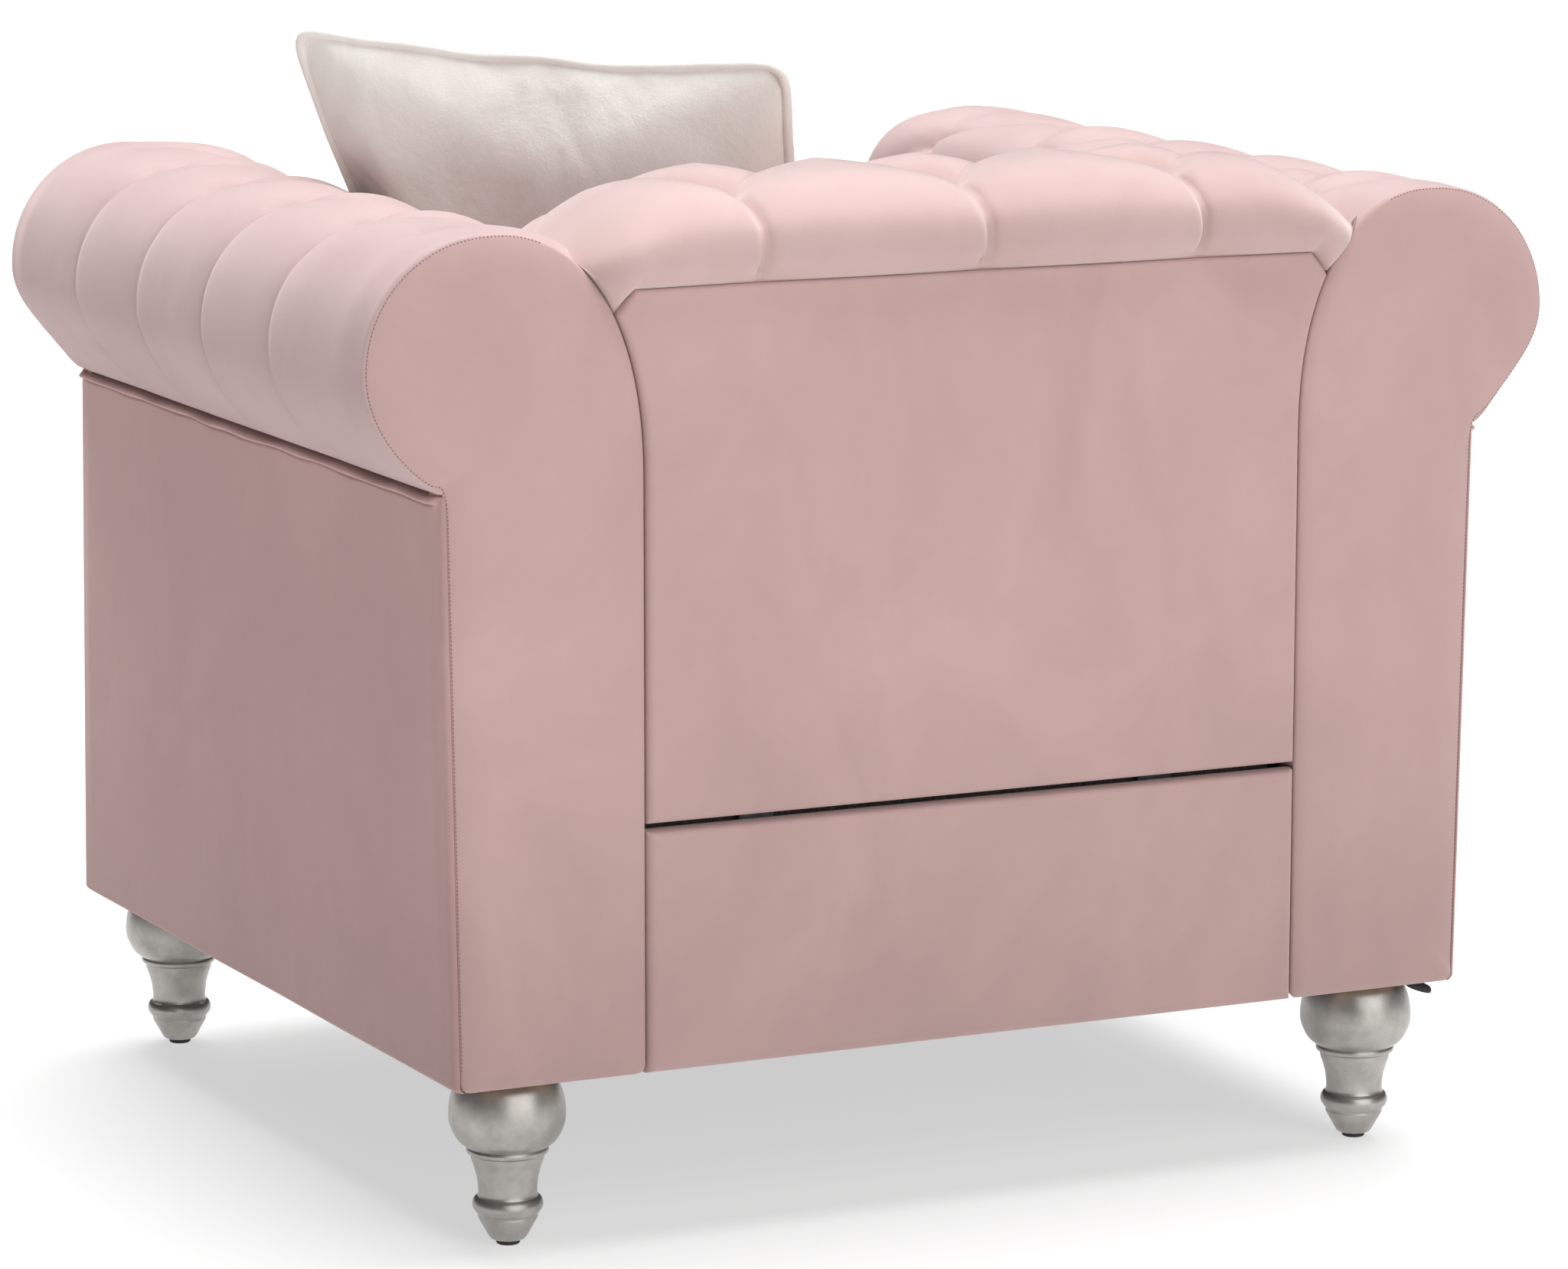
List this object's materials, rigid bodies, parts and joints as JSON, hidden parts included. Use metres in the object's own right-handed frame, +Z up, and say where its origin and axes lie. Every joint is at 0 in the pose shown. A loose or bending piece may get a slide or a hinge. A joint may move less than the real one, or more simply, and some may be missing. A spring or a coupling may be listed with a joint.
{
  "type": "rolled-arm tufted armchair",
  "caption": "Rolled-arm tufted velvet armchair with a lift-off back unit, loose seat cushion, turned metal-look legs and a throw pillow",
  "frame": {"origin": "on the floor under the middle of the chair's bounding box", "axes": "+X to the sitter's left, -Y to the front, +Y to the back, +Z up"},
  "size_m": [1.0446, 0.84, 0.9228],
  "materials": {
    "velvet": "short-pile blush pink velvet with a soft sheen",
    "plush": "short ivory plush",
    "silver_paint": "satin pewter-silver paint on turned legs",
    "glide_plastic": "matte black",
    "black_steel": "black painted pressed steel",
    "zinc_steel": "zinc plated",
    "plywood": "raw plywood",
    "cambric": "black non-woven dust cover",
    "deck_felt": "grey needled felt"
  },
  "bodies": {
    "chair": {"arm_board_front_left": "plywood", "arm_board_front_right": "plywood", "arm_board_rear_left": "plywood", "arm_board_rear_right": "plywood", "arm_facing_front_left": "velvet", "arm_facing_front_right": "velvet", "arm_facing_rear_left": "velvet", "arm_facing_rear_right": "velvet", "arm_pad_left": "velvet", "arm_pad_right": "velvet", "arm_panel_outside_left": "velvet", "arm_panel_outside_right": "velvet", "arm_sill_left": "plywood", "arm_sill_right": "plywood", "arm_top_rail_left": "plywood", "arm_top_rail_right": "plywood", "back_bracket_pocket_left": "zinc_steel", "back_bracket_pocket_right": "zinc_steel", "dust_cover": "cambric", "glide_front_left": "glide_plastic", "glide_front_right": "glide_plastic", "glide_rear_left": "glide_plastic", "glide_rear_right": "glide_plastic", "hanger_bolt_front_left": "zinc_steel", "hanger_bolt_front_right": "zinc_steel", "hanger_bolt_rear_left": "zinc_steel", "hanger_bolt_rear_right": "zinc_steel", "leg_front_left": "silver_paint", "leg_front_right": "silver_paint", "leg_plate_front_left": "black_steel", "leg_plate_front_right": "black_steel", "leg_plate_rear_left": "black_steel", "leg_plate_rear_right": "black_steel", "leg_rear_left": "silver_paint", "leg_rear_right": "silver_paint", "seat_cover_front": "velvet", "seat_cover_rear": "velvet", "seat_deck_pad": "deck_felt", "seat_rail_front": "plywood", "seat_rail_left": "plywood", "seat_rail_rear": "plywood", "seat_rail_right": "plywood", "seat_spring_1": "zinc_steel", "seat_spring_2": "zinc_steel", "seat_spring_3": "zinc_steel", "seat_spring_4": "zinc_steel", "seat_spring_5": "zinc_steel"},
    "back_unit": {"back_bracket_tongue_left": "zinc_steel", "back_bracket_tongue_right": "zinc_steel", "back_pad": "velvet", "back_panel_outside": "velvet", "back_post_left": "plywood", "back_post_right": "plywood", "back_rail_bottom": "plywood", "back_rail_top": "plywood"},
    "seat_cushion": {"seat_cushion": "velvet"},
    "throw_pillow": {"throw_pillow": "plush"}
  },
  "joints": [
    {"name": "back_lift", "type": "slide", "parent": "chair", "child": "back_unit", "axis": [0, 0, 1], "range_m": [0, 0.3]},
    {"name": "seat_cushion_lift", "type": "slide", "parent": "chair", "child": "seat_cushion", "axis": [0, 0, 1], "range_m": [0, 0.3]},
    {"name": "pillow_lift", "type": "slide", "parent": "seat_cushion", "child": "throw_pillow", "axis": [0, 0, 1], "range_m": [0, 0.3]}
  ]
}
